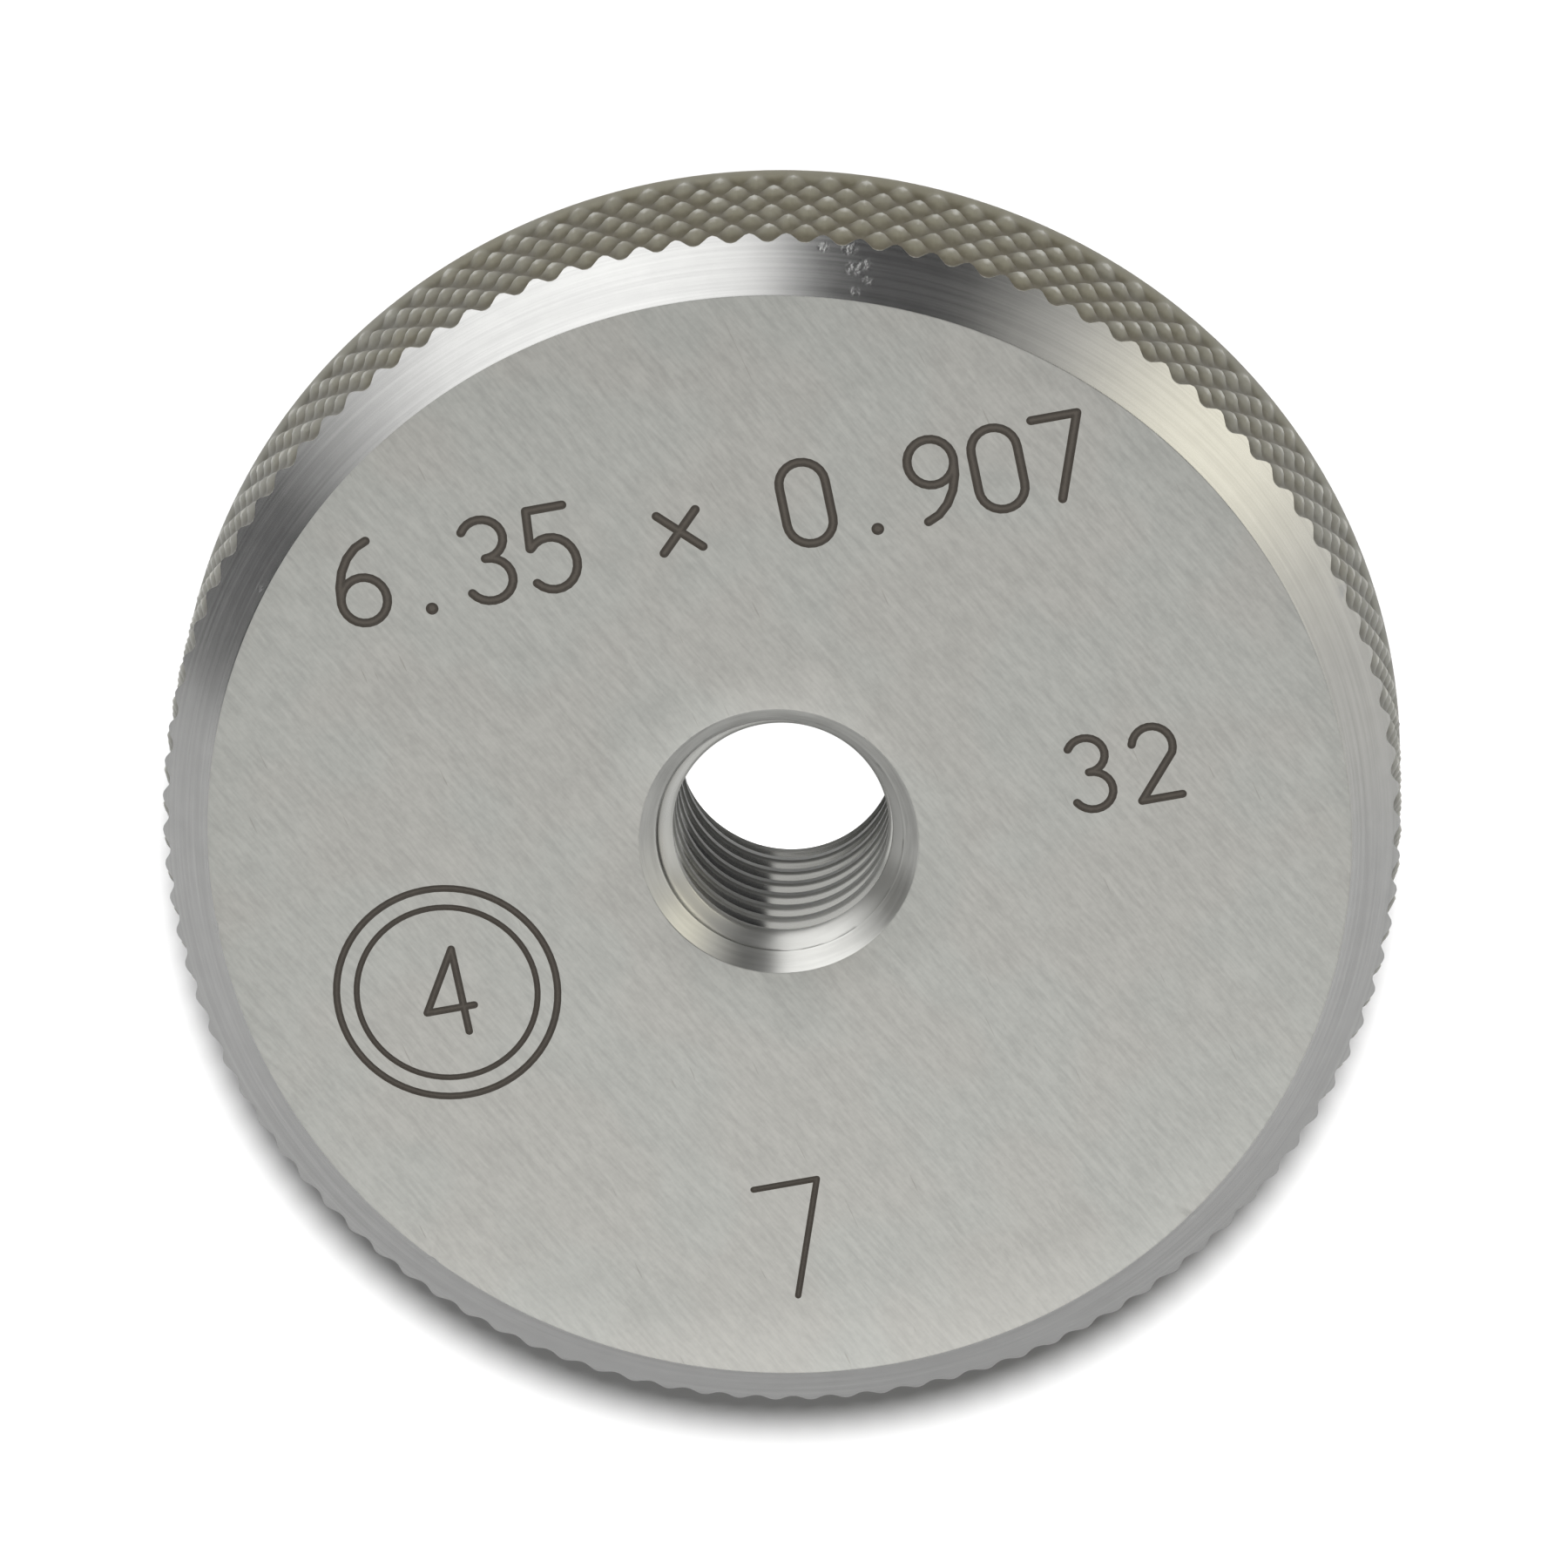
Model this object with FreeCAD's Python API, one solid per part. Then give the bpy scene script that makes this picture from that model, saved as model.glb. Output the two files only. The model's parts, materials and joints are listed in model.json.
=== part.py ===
# Thread ring gauge: one hardened steel ring with a threaded hole and a diamond-knurled rim.
# Millimetres. The ring lies on its rear face: +Z is its axis, the marked face is on top,
# and the marking reads along +X. The origin is the centre of the rear face.

import FreeCAD, Part
import math
import os

# Ring
outer_diameter = 32.0        # over the flats of the knurl's teeth
ring_width = 8.0
rim_chamfer = 1.3            # 45 degrees, on both corners of the rim

# Threaded hole, bored to the circle of the thread's crests
crest_diameter = 5.55
front_mouth_diameter = 7.2   # where the front countersink meets the marked face
front_step_diameter = 6.52   # where its steep lip ends and its 90 degree cone starts
front_lip_depth = 0.5
rear_mouth_diameter = 7.0    # plain 90 degree countersink

# Diamond knurl: two families of V grooves that cross, one left-hand and one right-hand
knurl_pitch = 0.95           # from groove to groove round the rim, before it is fitted to whole teeth
knurl_angle = 30.0           # of the grooves to the ring's axis, before it is fitted to whole rows
knurl_depth = 0.22
knurl_flat_share = 0.25      # of a tooth's width, left flat on its tip

# Metal that stands proud of the rim until it is knurled
knurling_stock = 0.5

axis_up = FreeCAD.Vector(0, 0, 1)
centre = FreeCAD.Vector(0, 0, 0)
rim_radius = outer_diameter / 2
groove_radius = rim_radius - knurl_depth

# The outermost grooves cross where the chamfers cut down to the bottom of the knurl
knurl_start = rim_chamfer - knurl_depth
knurl_length = ring_width - 2 * knurl_start
teeth = round(math.pi * outer_diameter / knurl_pitch)
half_tooth_angle = math.pi / teeth
half_tooth_width = math.pi * rim_radius / teeth
rows = round(knurl_length * math.tan(math.radians(knurl_angle)) / half_tooth_width)
row_height = knurl_length / rows

# A tooth is a four-sided pyramid whose apex is cut off level with the rim
cut_off_height = knurl_depth * knurl_flat_share / (1 - knurl_flat_share)
apex_radius = rim_radius + cut_off_height


def point_round_axis(angle, radius, height):
    return FreeCAD.Vector(radius * math.cos(angle), radius * math.sin(angle), height)


def polygon_face(points):
    return Part.Face(Part.makePolygon(points + points[:1]))


def turned_blank():
    """The ring from the lathe: chamfers and countersinks cut, its rim still thick."""
    crest_radius = crest_diameter / 2
    front_mouth = front_mouth_diameter / 2
    front_step = front_step_diameter / 2
    rear_mouth = rear_mouth_diameter / 2
    face_radius = rim_radius - rim_chamfer
    stock_radius = rim_radius + knurling_stock
    stock_chamfer = rim_chamfer + knurling_stock
    front_cone_end = ring_width - front_lip_depth - (front_step - crest_radius)
    rear_cone_end = rear_mouth - crest_radius
    half_section = [
        (rear_mouth, 0),
        (face_radius, 0),
        (stock_radius, stock_chamfer),
        (stock_radius, ring_width - stock_chamfer),
        (face_radius, ring_width),
        (front_mouth, ring_width),
        (front_step, ring_width - front_lip_depth),
        (crest_radius, front_cone_end),
        (crest_radius, rear_cone_end),
    ]
    points = [FreeCAD.Vector(radius, 0, height) for radius, height in half_section]
    return polygon_face(points).revolve(centre, axis_up, 360)


def is_tooth(column, row):
    """Columns are half a tooth apart: on a row, teeth alternate with groove crossings."""
    return (column + row) % 2 == 1


def groove_crossing(column, row):
    height = knurl_start + row * row_height
    return point_round_axis(column * half_tooth_angle, groove_radius, height)


def flat_corner(column, row, crossing):
    """Where the ridge from a tooth's apex down to a groove crossing is cut off at the rim."""
    angle = column * half_tooth_angle
    apex = point_round_axis(angle, apex_radius, knurl_start + row * row_height)
    outward = point_round_axis(angle, 1, 0)
    ridge = crossing - apex
    return apex - ridge * (cut_off_height / ridge.dot(outward))


def tooth_faces(column, row):
    """Flat and flanks of one tooth. A tooth on an end row is cut in half at the row's height."""
    above = groove_crossing(column, row + 1)
    below = groove_crossing(column, row - 1)
    left = groove_crossing(column - 1, row)
    right = groove_crossing(column + 1, row)
    if row == 0:
        crossings = [right, above, left]
    elif row == rows:
        crossings = [left, below, right]
    else:
        crossings = [right, above, left, below, right]
    corners = [flat_corner(column, row, crossing) for crossing in crossings]
    flanks = [
        polygon_face([corners[k], corners[k + 1], crossings[k + 1], crossings[k]])
        for k in range(len(crossings) - 1)
    ]
    whole = 0 < row < rows
    flat = polygon_face(corners[:-1] if whole else corners)
    return flanks + [flat]


def end_face(row):
    """Flat end of the knurled band, whose outline alternates half teeth and groove crossings."""
    outline = []
    for column in range(2 * teeth):
        if is_tooth(column, row):
            left = groove_crossing(column - 1, row)
            right = groove_crossing(column + 1, row)
            outline += [flat_corner(column, row, left), flat_corner(column, row, right)]
        else:
            outline.append(groove_crossing(column, row))
    return polygon_face(outline)


def knurled_band():
    """Solid disc between the outermost groove crossings, with the finished teeth on its edge."""
    faces = [end_face(0), end_face(rows)]
    for row in range(rows + 1):
        for column in range(2 * teeth):
            if is_tooth(column, row):
                faces += tooth_faces(column, row)
    shell = Part.Shell(faces)
    shell.sewShape()
    return Part.Solid(shell)


def knurled_ring():
    """The turned blank less all that the knurl takes off its thick rim."""
    foot = FreeCAD.Vector(0, 0, knurl_start)
    thick_disc = Part.makeCylinder(rim_radius + 2 * knurling_stock, knurl_length, foot)
    grooves = thick_disc.cut(knurled_band())
    return turned_blank().cut(grooves).Solids[0]


gauge_ring = knurled_ring()

os.makedirs("parts", exist_ok=True)
gauge_ring.exportStep("parts/gauge_ring.step")
print("knurl: %d teeth round the rim, %d rows of %.3f mm" % (teeth, rows, row_height))
print("gauge_ring: %.1f mm3, valid %s" % (gauge_ring.Volume, gauge_ring.isValid()))
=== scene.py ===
# %% [markdown]
# # A solid thread ring gauge, as one surface
#
# The object is a hardened steel ring. A fine thread runs through its middle, both ends of the
# hole are countersunk, both faces are ground flat, and the rim is diamond-knurled so that
# fingers can turn it. It is turned from one bar, so the whole of it is one closed surface here
# too, with a different finish on each machined part of it.
#
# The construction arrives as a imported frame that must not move. Everything below is worked out
# from that frame, in its own coordinates: the ring lies on its rear face, +Z is its axis, and
# its marking reads along +X.

# %% Load the frame
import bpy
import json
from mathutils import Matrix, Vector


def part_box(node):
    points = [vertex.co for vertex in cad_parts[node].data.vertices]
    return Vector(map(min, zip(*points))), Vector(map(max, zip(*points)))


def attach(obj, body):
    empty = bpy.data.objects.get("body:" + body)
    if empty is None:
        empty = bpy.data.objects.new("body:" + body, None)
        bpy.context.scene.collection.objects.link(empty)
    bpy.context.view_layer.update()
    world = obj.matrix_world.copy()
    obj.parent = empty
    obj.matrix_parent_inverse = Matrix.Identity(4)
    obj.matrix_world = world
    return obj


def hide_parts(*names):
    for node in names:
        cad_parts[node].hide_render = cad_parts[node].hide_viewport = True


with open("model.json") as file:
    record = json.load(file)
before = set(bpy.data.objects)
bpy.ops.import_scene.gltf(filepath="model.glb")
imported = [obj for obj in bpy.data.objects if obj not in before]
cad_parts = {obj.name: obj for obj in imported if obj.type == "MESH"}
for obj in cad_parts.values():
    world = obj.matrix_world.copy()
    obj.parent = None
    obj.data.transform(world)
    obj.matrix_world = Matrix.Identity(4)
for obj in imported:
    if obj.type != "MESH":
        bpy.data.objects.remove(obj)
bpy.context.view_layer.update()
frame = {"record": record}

# %% [markdown]
# ## Sizes
#
# A machinist thinks of this part in millimetres, so the shape functions do too, and one factor
# turns them into Blender's metres at the end. The outer radius, the width and the radius of
# the thread's crests are read from the frame. The rest are the sizes that the lathe, the
# grinder and the knurling tool were set to.

# %% Sizes of the ring
import json
import math

import bmesh
import bpy
import numpy as np
from mathutils import Matrix, Vector
from mathutils.geometry import delaunay_2d_cdt

MM = 0.001
low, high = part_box("gauge_ring")
ring_radius = high.x / MM
ring_width = (high.z - low.z) / MM
thread_mount = next(m for m in frame["record"]["mounts"] if m["name"] == "thread")
crest_radius = thread_mount["dims"]["r_mm"]

rim_chamfer = 1.3
knurl_depth = 0.22
knurl_pitch = 0.95
knurl_rows = 7

root_radius = 3.2
thread_pitch = 0.907
thread_start = math.radians(108)     # where, round the hole, a crest begins at its rear end
front_mouth_radius = 3.6
front_step_radius = 3.26
front_lip_depth = 0.5
rear_mouth_radius = 3.5

edge_rounding = 0.07
print("ring %.1f mm across and %.1f mm wide, crests on %.3f mm" % (2 * ring_radius, ring_width, crest_radius))

# %% [markdown]
# ## The camera
#
# The camera comes first, because every later choice is judged through it. A photograph gives
# four things: the focal length in pixels, the tilt of the ring's face, its turn in the picture
# and its distance. The matrix below takes a point of the ring to the camera's own axes, so the
# camera's place is the inverse of it. The long lens is that of a product photograph, where the
# far edge of a small part is hardly smaller than the near one.
#
# The marking climbs by 11 degrees in the picture, so the ring's +X is not the picture's right.
# Wear and light are placed later as the picture shows them, and `in_picture` turns such a
# place into the ring's own.

# %% Make the camera
picture_width = 1800
focal_length_in_pixels = 15915
picture_turn = math.radians(11)
face_tilt = math.radians(19.65)
tilt_axis = Vector((0.9938, -0.1115, 0))
face_from_camera = Vector((-0.132, -1.482, -356.132)) * MM


def add_to_scene(name, data):
    """A new object that shows the data, linked to the scene."""
    made = bpy.data.objects.new(name, data)
    bpy.context.scene.collection.objects.link(made)
    return made


camera = add_to_scene("camera", bpy.data.cameras.new("camera"))
camera.data.sensor_width = 36
camera.data.lens = camera.data.sensor_width * focal_length_in_pixels / picture_width
camera.data.clip_start = 0.01
to_camera = (
    Matrix.Translation(face_from_camera)
    @ Matrix.Rotation(face_tilt, 4, tilt_axis)
    @ Matrix.Rotation(picture_turn, 4, "Z")
    @ Matrix.Translation((0, 0, -ring_width * MM))
)
camera.matrix_world = to_camera.inverted()
bpy.context.scene.camera = camera
print("lens %.0f mm, camera %.0f mm away" % (camera.data.lens, camera.location.length / MM))


def in_picture(x, y, z):
    """The ring's own place for one given along the picture's right, its top and the ring's axis."""
    return Matrix.Rotation(-picture_turn, 3, "Z") @ Vector((x, y, z))


# %% [markdown]
# ## How the pieces of surface are kept
#
# Each machined surface is worked out by itself, as arrays: its points, its faces and the
# number of its finish. A small list collects them, and their shared edges are merged at the
# end. The other way would be to model one section and spin it, but then neither the knurl nor
# the thread, whose shape changes round the ring, could be part of it.

# %% Points and faces on a grid
# In the order in which the materials are made below, because a face keeps its finish as a number
FINISHES = ["ground_face", "turned_chamfer", "knurled_rim", "turned_bore", "cut_thread", "etched_mark"]
surfaces = []


def add_surface(points, faces, finish, etch=None):
    """Keeps points (n, 3) in millimetres, faces (m, 3 or 4), and a finish for all or for each face."""
    finish_numbers = np.broadcast_to(finish, len(faces))
    etch = np.zeros(len(points)) if etch is None else etch
    surfaces.append((points, faces, finish_numbers, etch))


def grid_faces(rows, columns):
    """Four-sided faces between neighbouring rows and columns of points numbered row by row."""
    corner = np.arange(rows * columns).reshape(rows, columns)
    quads = [corner[:-1, :-1], corner[:-1, 1:], corner[1:, 1:], corner[1:, :-1]]
    return np.stack([q.ravel() for q in quads], axis=1)


def round_axis(angle, radius, height):
    """Points at that angle and radius round the ring's axis: x = r cos a, y = r sin a, z = height."""
    angle, radius, height = np.broadcast_arrays(angle, radius, height)
    points = np.stack([radius * np.cos(angle), radius * np.sin(angle), height], axis=-1)
    return points.reshape(-1, 3)


print("%d finishes: %s" % (len(FINISHES), ", ".join(FINISHES)))

# %% [markdown]
# ## The diamond knurl
#
# Two wheels press the knurl: one leaves left-hand grooves and one right-hand grooves, and the
# diamonds that stand between them are worn round. On a lattice whose unit is half a tooth, that
# is one short formula. Let *wave(x)* rise smoothly from 0 to 1 and fall back over two units.
# With *a* counted round the rim and *b* along it, one family of grooves lies where wave(a + b)
# is 0 and the other where wave(a - b) is 0. Their product is 0 all along both and 1 on the
# teeth's tops, and a power below 1 fills the teeth out.
#
# The wheels were narrower than the ring, so the knurl runs out before the rear chamfer and
# leaves a plain land there, a little lower than the teeth, which the wheels raised.
#
# A texture could show this as bump, but the edge of the chamfer is toothed too, and only
# geometry shows there.

# %% Height of the knurl
teeth = round(2 * math.pi * ring_radius / knurl_pitch)
half_tooth_angle = math.pi / teeth
groove_radius = ring_radius - knurl_depth
knurl_start = rim_chamfer - knurl_depth
row_height = (ring_width - 2 * knurl_start) / knurl_rows
fullness = 0.62
land_rise = 0.85             # of the knurl's depth
land_end = 0.45              # where the knurl starts to fade in, in rows from the first
knurl_full = 0.95            # where it has its whole depth
print("%d teeth round the rim, %d rows %.3f mm high" % (teeth, knurl_rows, row_height))


def wave(x):
    """Smooth wave, 0 at even numbers and 1 at odd ones: (1 - cos(pi x)) / 2."""
    return (1 - np.cos(math.pi * x)) / 2


def rim_rise(a, b):
    """Height over the grooves' bottoms, from 0 to 1: (wave(a + b) x wave(a - b)) ^ fullness, or the land."""
    tooth = (wave(a + b) * wave(a - b)) ** fullness
    fade = np.clip((b - land_end) / (knurl_full - land_end), 0, 1)
    fade = fade * fade * (3 - 2 * fade)
    return land_rise + (tooth - land_rise) * fade


# %% [markdown]
# ### Where the knurl meets the chamfer
#
# The chamfer was turned first, so each groove runs out through it and its edge is scalloped. A
# column of points at the place *a* meets the 45 degree cone at the height *h* over the end row
# for which
#
#     row height x h = knurl depth x rim_rise(a, h)
#
# Putting the right side back in place of h a few times solves that. Then the points of the
# column's first row are slid, in proportion, to start on the cone, so the end of the grid
# follows the scallops.

# %% The knurled band
CELLS = 4                # to half a tooth
SUBSTITUTIONS = 40       # more than enough for the heights to settle
column_count = 2 * teeth * CELLS + 1
columns = np.arange(column_count) / CELLS
column_angles = columns * half_tooth_angle


def cone_meeting(end, inwards):
    """Height over the end row, in rows, at which each column meets the cone, by repeated substitution."""
    height = np.zeros(column_count)
    for _ in range(SUBSTITUTIONS):
        height = knurl_depth / row_height * rim_rise(columns, end + inwards * height)
    return height


def slid_rows(rows, start):
    """Rows counted from an end. Those of the first row are slid: start + row x (1 - start)."""
    return np.where(rows < 1, start + rows * (1 - start), rows)


def knurled_band():
    """Grid of the rim: radius = groove radius + depth x rim_rise, height = knurl start + b x row height."""
    rows = np.arange(knurl_rows * CELLS + 1)[:, None] / CELLS
    b = slid_rows(rows, cone_meeting(0, 1))
    b = knurl_rows - slid_rows(knurl_rows - b, cone_meeting(knurl_rows, -1))
    radius = groove_radius + knurl_depth * rim_rise(columns, b)
    points = round_axis(column_angles, radius, knurl_start + b * row_height)
    return points.reshape(len(rows), column_count, 3)


def split_along_grooves(rows, columns):
    """Two triangles to a cell, cut along the groove that is nearer, which keeps the grooves straight."""
    quads = grid_faces(rows, columns)
    a, b = np.meshgrid((np.arange(columns - 1) + 0.5) / CELLS, (np.arange(rows - 1) + 0.5) / CELLS)
    falling = (wave(a + b) < wave(a - b)).ravel()[:, None]
    first = np.where(falling, quads[:, [0, 1, 3]], quads[:, [0, 1, 2]])
    second = np.where(falling, quads[:, [1, 2, 3]], quads[:, [0, 2, 3]])
    return np.vstack([first, second])


band = knurled_band()
band_faces = split_along_grooves(*band.shape[:2])
print("knurled band: %d x %d points" % band.shape[:2])

# %% [markdown]
# ## Chamfers
#
# A chamfer is a straight line carried round the ring, from the scalloped edge of the knurl to
# the ground face. Its last corner is not sharp on the real ring: handling rounds it by about a
# tenth of a millimetre, and that thin rounding is what catches the light. Modifiers could
# bevel the corner, but they would bevel the scallops too, so the rounding is part of the
# section. Its rows next to the face were ground bright with the face and take its finish.

# %% Section of a chamfer
COS_45 = math.sqrt(0.5)
face_edge_radius = ring_radius - rim_chamfer
edge_run = edge_rounding * math.tan(math.radians(22.5))
flat_radius = face_edge_radius - edge_run
LINE_SHARES = np.array([0, 0.06, 0.13, 0.2, 0.3, 0.45, 0.6, 0.75, 0.85, 0.9, 0.95, 1])[:, None]
ARC_TURNS = np.radians([30, 15, 0])[:, None]
GROUND_ROWS = 2          # of the three rows of faces that every rounding has


def chamfer_points(edge):
    """Line from each point of the knurl's edge to the corner, then the rounding, an eighth of a turn.

    Along the line: point = edge + share x (line's end - edge). Round the corner, with p from 45 degrees
    to 0: radius = centre radius + rounding x sin p, height = centre height + rounding x cos p."""
    radius = np.hypot(edge[:, 0], edge[:, 1])
    height = edge[:, 2]
    line_end = (face_edge_radius + edge_run * COS_45, ring_width - edge_run * COS_45)
    line_radius = radius + LINE_SHARES * (line_end[0] - radius)
    line_height = height + LINE_SHARES * (line_end[1] - height)
    arc_shape = (len(ARC_TURNS), len(radius))
    arc_radius = np.broadcast_to(flat_radius + edge_rounding * np.sin(ARC_TURNS), arc_shape)
    arc_height = np.broadcast_to(ring_width - edge_rounding + edge_rounding * np.cos(ARC_TURNS), arc_shape)
    return np.vstack([line_radius, arc_radius]), np.vstack([line_height, arc_height])


def ground_at_its_end(faces, row_length, finish):
    """That finish's number for each face, but the ground face's for the last rows, on the rounding."""
    numbers = np.full(len(faces), FINISHES.index(finish))
    numbers[-GROUND_ROWS * row_length :] = FINISHES.index("ground_face")
    return numbers


print("chamfers end %.3f mm from the axis" % flat_radius)

# %% [markdown]
# ### Nicks
#
# A ring that is used gets knocked. Each nick is a small bell-shaped hollow, and points of the
# chamfer and the knurl near it are pushed in along the chamfer's normal. That keeps the mesh
# closed, as a boolean cut might not.

# %% Push in the nicks
# Place in the picture's degrees, anticlockwise from the right, and share of the way from knurl to face;
# then size and depth in mm
NICKS = [
    (189.5, 0.97, 0.13, 0.05),
    (232.0, 0.96, 0.10, 0.05),
    (229.5, 0.93, 0.08, 0.03),
    (316.0, 0.95, 0.10, 0.03),
    (24.0, 0.10, 0.12, 0.04),
]
REAR_NICKS = [(120.0, 0.95, 0.12, 0.04), (300.0, 0.10, 0.12, 0.04)]


def nick_middles(nicks):
    """Place and inward direction of each nick: on the front chamfer's line, at its angle and share."""
    degrees, share, size, depth = np.array(nicks).T
    angle = np.radians(degrees) - picture_turn
    middle = round_axis(angle, ring_radius - share * rim_chamfer, ring_width - (1 - share) * rim_chamfer)
    inward = -COS_45 * round_axis(angle, 1, 1)
    return middle, inward, size, depth


def nicked(points, nicks):
    """Pushes points inwards by depth x exp(-(distance / size)^2), summed over the nicks."""
    middle, inward, size, depth = nick_middles(nicks)
    gap = np.linalg.norm(points[:, None, :] - middle, axis=2)
    push = depth * np.exp(-((gap / size) ** 2)) * (gap < 3 * size)
    return points + push @ inward


def upside_down(points):
    """The same points with the ring turned over: its front comes to the rear, at the same angles."""
    return points * [1, 1, -1] + [0, 0, ring_width]


print("%d nicks in front, %d behind" % (len(NICKS), len(REAR_NICKS)))

# %% Add the knurl and both chamfers


def add_chamfer(edge, front):
    """Adds the chamfer that starts at that edge. The rear one is the front one's formula, upside down."""
    radius, height = chamfer_points(edge if front else upside_down(edge))
    points = round_axis(column_angles, radius, height)
    inner_row = points[-column_count:]       # the face shares it, so no nick may move it
    points = np.vstack([nicked(points[:-column_count], NICKS if front else REAR_NICKS), inner_row])
    faces = grid_faces(len(radius), column_count)
    finish = ground_at_its_end(faces, column_count - 1, "turned_chamfer")
    if not front:
        points, faces = upside_down(points), faces[:, ::-1]
    add_surface(points, faces, finish)


add_chamfer(band[-1], front=True)
add_chamfer(band[0], front=False)
band_points = nicked(band.reshape(-1, 3), NICKS)
band_points = upside_down(nicked(upside_down(band_points), REAR_NICKS))
add_surface(band_points, band_faces, FINISHES.index("knurled_rim"))
print("%d surfaces: %s faces" % (len(surfaces), " + ".join(str(len(faces)) for _, faces, *_ in surfaces)))

# %% [markdown]
# ## The threaded hole
#
# A thread's groove is a helix, so the grid's rows follow the helix too. Row *s* of turn *n*
# climbs with the angle round the hole:
#
#     height = rear end + (n + s + (angle - start) / full turn) x pitch
#
# The start angle is where round the hole the middle of a crest leaves the rear end. It decides
# where the first turns run out into the cones, which is easy to see from outside.
#
# At each point the tool has cut to whichever is further out, the thread's profile or the
# countersink's cone, with the edge between them a little rounded. Where the cone is wider than
# the thread's roots nothing of the thread is left, and the rows are held at that height, where
# they fold onto one ring and merge. A helix made with a Screw modifier would have to be cut
# from the ring, and its thin run-outs are where such cuts fail.
#
# The profile has flat crests an eighth of a pitch to each side, flanks at 30 degrees and
# rounded roots. Its rows are closer where it bends, so no row is wasted on straight flanks.

# %% Profiles of the thread and of the countersinks
HOLE_COLUMNS = 144
hole_angles = np.linspace(0, 2 * math.pi, HOLE_COLUMNS + 1)
run_out_rounding = 0.08
half_profile = np.array([0, 0.1, 0.125, 0.15, 0.21, 0.27, 0.33, 0.365, 0.4, 0.435, 0.47])
profile_rows = np.concatenate([half_profile, 1 - half_profile[:0:-1]])


def thread_radius(share):
    """Radius at a share of a pitch from a crest: crest + 1.73 x (distance - flat), eased off at the root."""
    from_crest = thread_pitch * np.minimum(share, 1 - share)
    rise = math.sqrt(3) * np.maximum(from_crest - thread_pitch / 8, 0)
    depth = root_radius - crest_radius
    return crest_radius + rise / (1 + (rise / depth) ** 6) ** (1 / 6)


def cone_radius(height):
    """Radius of the two countersinks' 45 degree cones at that height, or a small number between them."""
    front = front_step_radius - (ring_width - front_lip_depth - height)
    rear = rear_mouth_radius - height
    return np.maximum(front, rear)


def further_out(first, second, rounding):
    """The larger of two radii, with a soft change: (a + b + sqrt((a - b)^2 + rounding^2)) / 2."""
    return (first + second + np.hypot(first - second, rounding)) / 2


front_end = ring_width - front_lip_depth - (front_step_radius - root_radius)
rear_end = rear_mouth_radius - root_radius
print("thread between %.2f and %.2f mm, %d rows to a turn" % (rear_end, front_end, len(profile_rows)))

# %% Grid of the thread


def thread_grid():
    """Grid of the hole between the cones: rows on the helix, held between its two ends."""
    turns = np.arange(-1, math.ceil((front_end - rear_end) / thread_pitch) + 1)
    along = (turns[:, None] + profile_rows).reshape(-1, 1)
    share = np.mod(along, 1)
    height = rear_end + (along + (hole_angles - thread_start) / (2 * math.pi)) * thread_pitch
    height = np.clip(height, rear_end, front_end)
    radius = further_out(thread_radius(share), cone_radius(height), run_out_rounding)
    held = (height <= rear_end) | (height >= front_end)
    radius = np.where(held, root_radius, np.minimum(radius, root_radius))
    return radius, height


radius, height = thread_grid()
thread_points = round_axis(hole_angles, radius, height)
thread_faces = grid_faces(*radius.shape)[:, ::-1]      # backwards, because the metal is outside
add_surface(thread_points, thread_faces, FINISHES.index("cut_thread"))
print("thread: %d x %d points" % radius.shape)

# %% [markdown]
# ### The ends of the hole
#
# From the thread a 45 degree cone opens to each face. In front it ends half a millimetre below
# the face in a steeper lip, and behind it goes all the way. Both mouths are rounded like the
# chamfers, so the rear end is the front one's formula upside down, with one ring fewer.

# %% Ends of the hole
mouth_rounding = 0.06


def mouth_rows(mouth_radius, wall_angle):
    """Radius and depth below the face of the rounding between it and a wall that leans out by wall_angle.

    A circle of the rounding's radius touches both, so its centre stands tan(half the turn) x rounding
    out from the corner; the arc then turns from the wall's normal to the face's."""
    half_turn = (math.pi / 2 - wall_angle) / 2
    centre = mouth_radius + mouth_rounding * math.tan(half_turn)
    normal = np.linspace(wall_angle, math.pi / 2, 4)
    radius = centre - mouth_rounding * np.cos(normal)
    below_face = mouth_rounding * (1 - np.sin(normal))
    return radius, below_face


def add_end(rings, mouth_radius, wall_angle, front):
    """Adds an end of the hole: rings of a radius and a depth below the face, then the mouth's rounding."""
    radius, below_face = np.hstack([np.transpose(rings), mouth_rows(mouth_radius, wall_angle)])
    points = round_axis(hole_angles, radius[:, None], ring_width - below_face[:, None])
    faces = grid_faces(len(radius), len(hole_angles))[:, ::-1]
    finish = ground_at_its_end(faces, HOLE_COLUMNS, "turned_bore")
    if not front:
        points, faces = upside_down(points), faces[:, ::-1]
    add_surface(points, faces, finish)
    return radius[-1]


cone_angle = math.pi / 4
lip_angle = math.atan2(front_mouth_radius - front_step_radius, front_lip_depth)
front_rings = [(root_radius, ring_width - front_end), (front_step_radius, front_lip_depth)]
front_hole_radius = add_end(front_rings, front_mouth_radius, lip_angle, front=True)
rear_hole_radius = add_end([(root_radius, rear_end)], rear_mouth_radius, cone_angle, front=False)
print("hole opens to %.2f mm in front and %.2f mm behind" % (front_hole_radius, rear_hole_radius))

# %% [markdown]
# ## The marks on the face
#
# The face carries plain numbers, etched by a machine whose tool leaves a line of one width with
# round ends. Each digit is therefore a few strokes, and each stroke is an arc or a straight
# line, written here in units of the digit's height. A font would give outlines with its own
# thick and thin parts, which such a machine can't draw.

# %% Strokes of the digits


def line(*corners):
    """A straight stroke from corner to corner."""
    return np.array(corners, dtype=float)


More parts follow.
